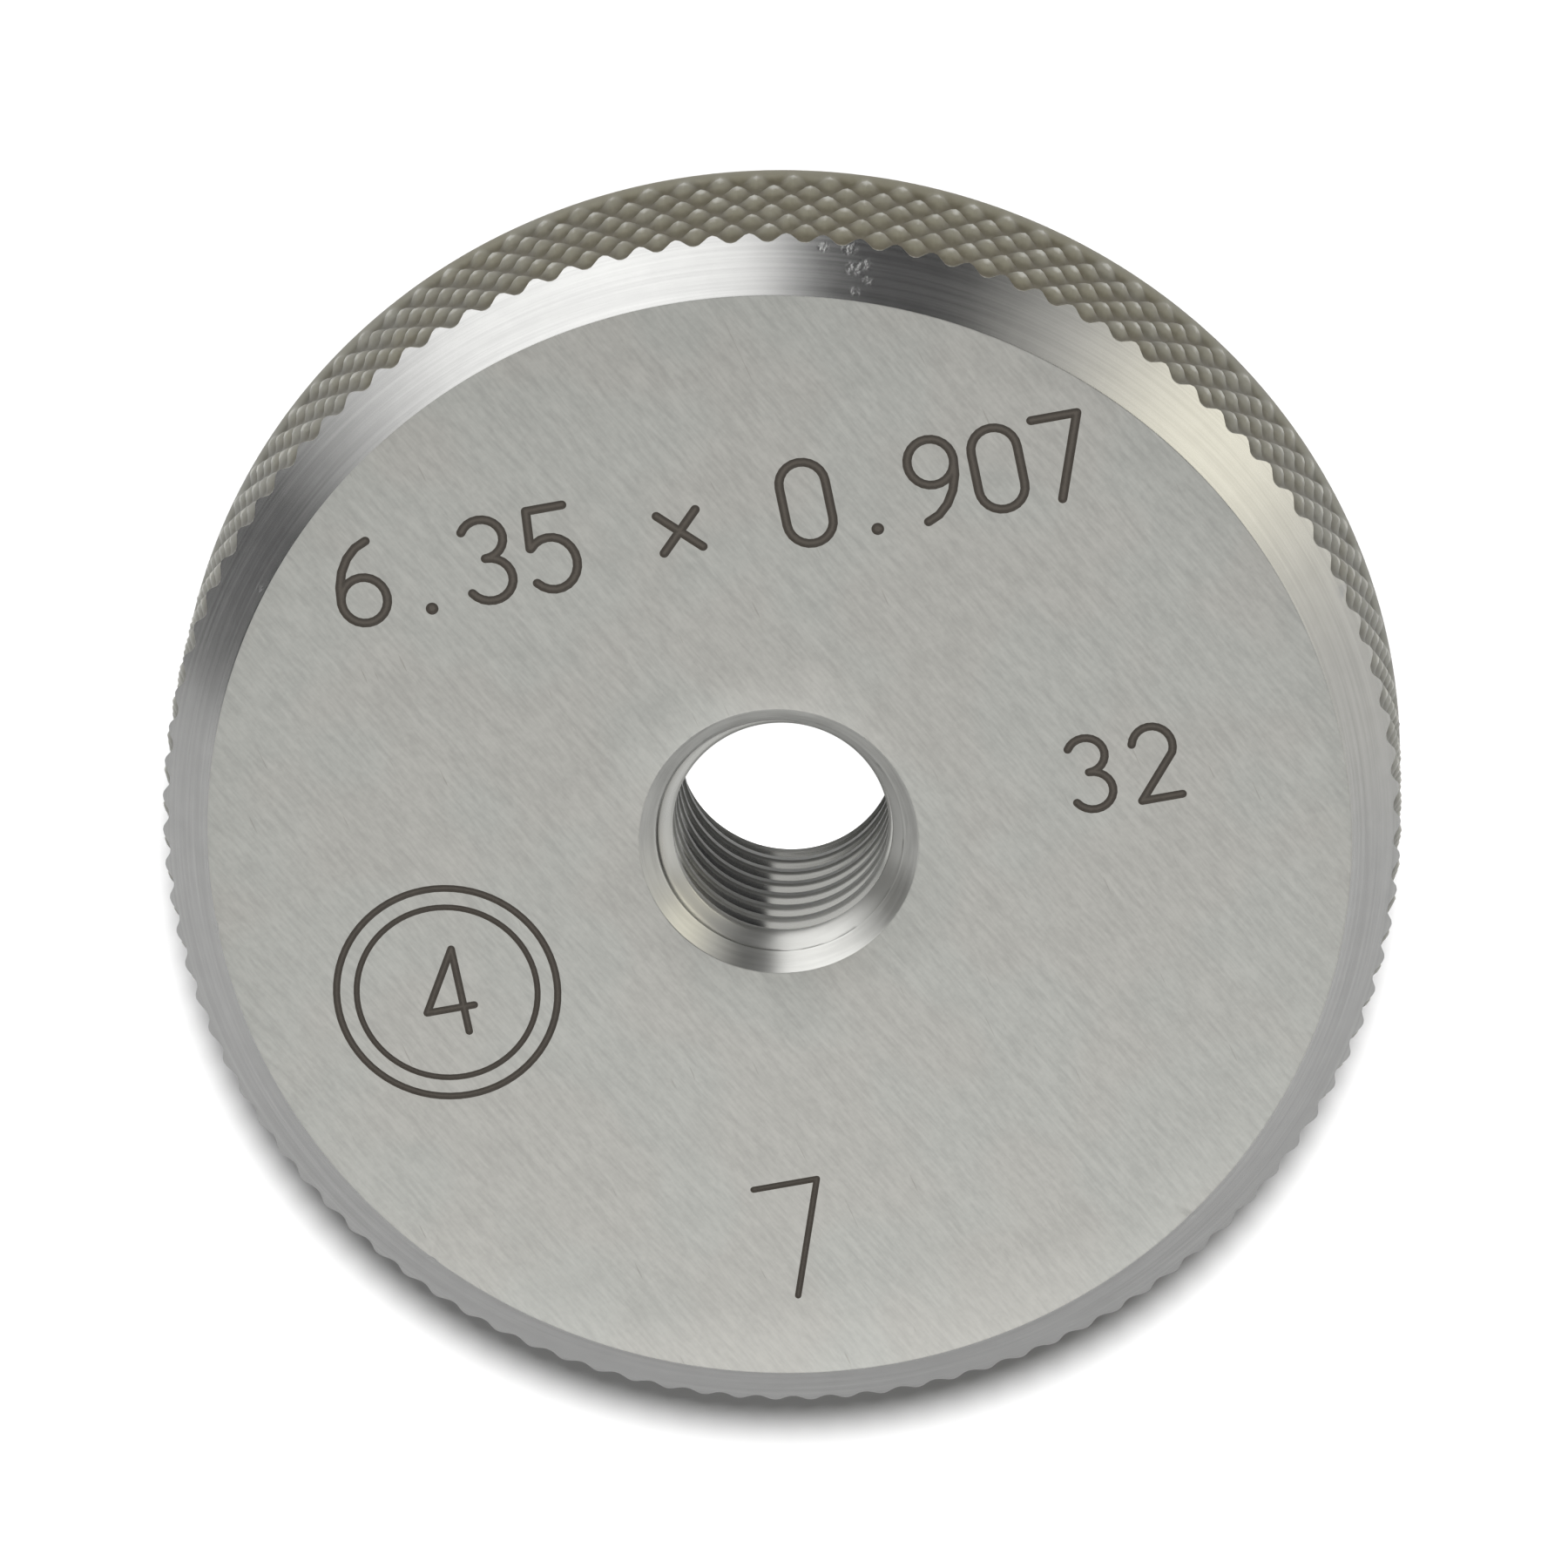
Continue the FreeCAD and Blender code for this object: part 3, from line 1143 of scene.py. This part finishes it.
def etched_mark():
    """Dark at a line's edge and lighter by the depth inside it, with a speckled border between."""
    finish = RingFinish("etched_mark")
    inside = finish.node("Attribute", output=2, attribute_name="etch")       # output 2 is the number
    speckle = finish.spots(0.12, detail=3)
    inwards = finish.step(inside + (speckle - 0.5) * 0.5, 0.35, 1.0)
    colour = finish.mix(inwards, ETCHED_WALL, ETCHED_FLOOR)
    finish.steel(colour, 0.6, finish.bump(speckle, 0.006), metallic=0.2)


etched_mark()

# %% [markdown]
# ## The table
#
# The ring lies on a pale table, and a strong key light, which shines on the table alone, burns
# it out to white all round the ring and leaves a small dark shadow along its lower edge. Seen
# through the hole the table is pure white in the photograph, so it glows a little there, where
# the ring would otherwise shade it.
#
# The lower chamfer mirrors the table in front of the ring. A wide spot there is dimmer, but
# only in reflections: a Light Path node tells them from what is seen directly.

# %% The table
TABLE_RADIUS = 400
TABLE_GAP = 0.05             # below the ring's rear face, so that the two don't share a plane
TABLE_GREY = (0.17, 0.17, 0.17)
DIM_GREY = (0.115, 0.115, 0.115)
DIM_REACH = (62, 10)         # mm from the dim spot's middle where it starts, and where it is whole
NO_GLOW, FULL_GLOW = (0, 0, 0), (1, 1, 1)
MIRRORED_GLOW = 0.6          # of the whole glow, in reflections
glow_radius = crest_radius + 1.5
dim_spot = in_picture(0, -50, 0)

table_mesh = bpy.data.meshes.new("table")
work = bmesh.new()
bmesh.ops.create_circle(work, cap_ends=True, segments=96, radius=TABLE_RADIUS * MM)
work.to_mesh(table_mesh)
work.free()
table = add_to_scene("table", table_mesh)
table.location.z = -TABLE_GAP * MM

table_paint = bpy.data.materials.new("table_paint")
paint = Nodes(table_paint)
place = paint.node("TexCoord", output=OBJECT_PLACE)
flat_place = paint.vector("MULTIPLY", place, (1 / MM, 1 / MM, 0))
from_axis = paint.vector("LENGTH", flat_place, output=1)
glow = 1 - paint.step(from_axis, glow_radius, glow_radius + 1)
from_dim_spot = paint.vector("DISTANCE", flat_place, tuple(dim_spot), output=1)
seen = paint.node("LightPath")               # 1 for what the camera sees directly, or else 0
dim = paint.step(from_dim_spot, *DIM_REACH) * (1 - seen)
glow = glow * (seen * (1 - MIRRORED_GLOW) + MIRRORED_GLOW)
inputs = {
    "Base Color": paint.mix(dim, TABLE_GREY, DIM_GREY),
    "Roughness": 0.9,
    "Specular IOR Level": 0.2,
    "Emission Color": paint.mix(glow, NO_GLOW, FULL_GLOW),
    "Emission Strength": 1,
}
paint.node("OutputMaterial", {"Surface": paint.node("BsdfPrincipled", inputs)})
table_mesh.materials.append(table_paint)
print("table %.1f m across" % (2 * TABLE_RADIUS * MM))

# %% [markdown]
# ## The studio
#
# Polished steel shows little of its own and mostly what stands round it, so the studio is what
# draws the bright and dark bands on the chamfer. It is a world of soft panels and dark gaps,
# written as two ramps of colours against the direction round the ring. The chamfers and the
# cones mirror the lower panels, the thread's flanks the upper ones, and an even pale ceiling
# lights the ground face. Panels of real area lamps would do the same, but each would have to be
# aimed, and a ramp is read at a glance.

# %% The studio
GREY = (1.2, 1.2, 1.19)
SOFT = (1.42, 1.4, 1.32)
WARM = (1.75, 1.71, 1.55)
CREAM = (2.8, 2.7, 2.3)
DARK = (0.15, 0.15, 0.152)
WHITE = (3.0, 3.0, 2.98)
BRIGHTEST = (3.4, 3.4, 3.38)
CEILING = (0.93, 0.93, 0.915)
BLACK = (0.04, 0.04, 0.042)
PALE = (0.95, 0.95, 0.93)

# Degrees anticlockwise round the ring from the picture's right, and the light that comes from there
PANELS = [
    (0, SOFT),
    (12, WARM),
    (25, CREAM),
    (36, CREAM),
    (52, SOFT),
    (68, DARK),
    (86.5, DARK),
    (96, WHITE),
    (113, BRIGHTEST),
    (134, WHITE),
    (152, GREY),
    (163, DARK),
    (182, DARK),
    (189, GREY),
    (338, GREY),
    (352, SOFT),
]
UPPER_PANELS = [(0, PALE), (12, BLACK), (87, BLACK), (90, PALE)]

# Degrees above the table between which one band of the studio fades into the next
LOWER_TO_UPPER = (26, 36)
UPPER_TO_CEILING = (60, 70)


def studio():
    """Lights the ring by the direction (turn, height), and is white where the camera sees it directly."""
    world = bpy.data.worlds.new("studio")
    bpy.context.scene.world = world
    nodes = Nodes(world)
    direction = nodes.node("TexCoord")       # in a world, its first output is the light's direction
    x, y, z = (nodes.node("SeparateXYZ", {0: direction}, output=k) for k in range(3))
    turn = nodes.math("ARCTAN2", y, x) + picture_turn
    share = nodes.math("FRACT", turn / (2 * math.pi) + 1)

    def ramp(panels):
        stops = [(degrees / 360, colour) for degrees, colour in panels]
        return nodes.node("ValToRGB", {"Fac": share}, stops=stops)

    def above(fade):
        return nodes.step(z, *(math.sin(math.radians(degrees)) for degrees in fade))

    colour = nodes.mix(above(LOWER_TO_UPPER), ramp(PANELS), ramp(UPPER_PANELS))
    colour = nodes.mix(above(UPPER_TO_CEILING), colour, CEILING)
    seen = nodes.node("Background", {"Color": (1, 1, 1, 1), "Strength": 1})
    lit = nodes.node("Background", {"Color": colour, "Strength": 1})
    directly = nodes.node("LightPath")       # 1 for what the camera sees, 0 for reflections and light
    nodes.node("OutputWorld", {"Surface": nodes.node("MixShader", {0: directly, 1: lit, 2: seen})})


studio()
bpy.context.scene.view_settings.view_transform = "Standard"
print("studio: %d lower and %d upper stops of light" % (len(PANELS), len(UPPER_PANELS)))

# %% [markdown]
# ## Two lamps
#
# The key light is a sun nine degrees wide, which gives the shadow its soft edge. Light linking
# keeps it off the ring, whose steel would otherwise show it as a glaring spot.
#
# The face lamp is a weak square one. The plane of the face would mirror it well below the ring
# in the picture, and ground steel is rough enough for the glow round that image to reach up
# and brighten the lower part of the face, as in the photograph.

# %% Key light and face lamp
KEY_ENERGY, KEY_WIDTH = 20, math.radians(9)
FACE_LAMP_ENERGY, FACE_LAMP_SIZE, FACE_LAMP_DISTANCE = 0.02, 0.08, 0.16
key_direction = in_picture(0.05, 0.47, 0.88)
face_lamp_image = in_picture(8, -65, ring_width)


def light(name, kind, energy, towards, **settings):
    """A lamp that shines back along the direction `towards`."""
    lamp = add_to_scene(name, bpy.data.lights.new(name, kind))
    lamp.data.energy = energy
    lamp.rotation_euler = towards.to_track_quat("Z", "Y").to_euler()
    for setting, value in settings.items():
        setattr(lamp.data, setting, value)
    return lamp


key = light("key_light", "SUN", KEY_ENERGY, key_direction, angle=KEY_WIDTH)
lit_by_key = bpy.data.collections.new("lit_by_key")
lit_by_key.objects.link(table)
key.light_linking.receiver_collection = lit_by_key

eye = camera.location.normalized()
mirrored_eye = Vector((-eye.x, -eye.y, eye.z))
face_lamp = light("face_lamp", "AREA", FACE_LAMP_ENERGY, mirrored_eye, size=FACE_LAMP_SIZE)
face_lamp.location = face_lamp_image * MM + mirrored_eye * FACE_LAMP_DISTANCE
face_lamp.visible_camera = False
print("lamps:", key.name, face_lamp.name)
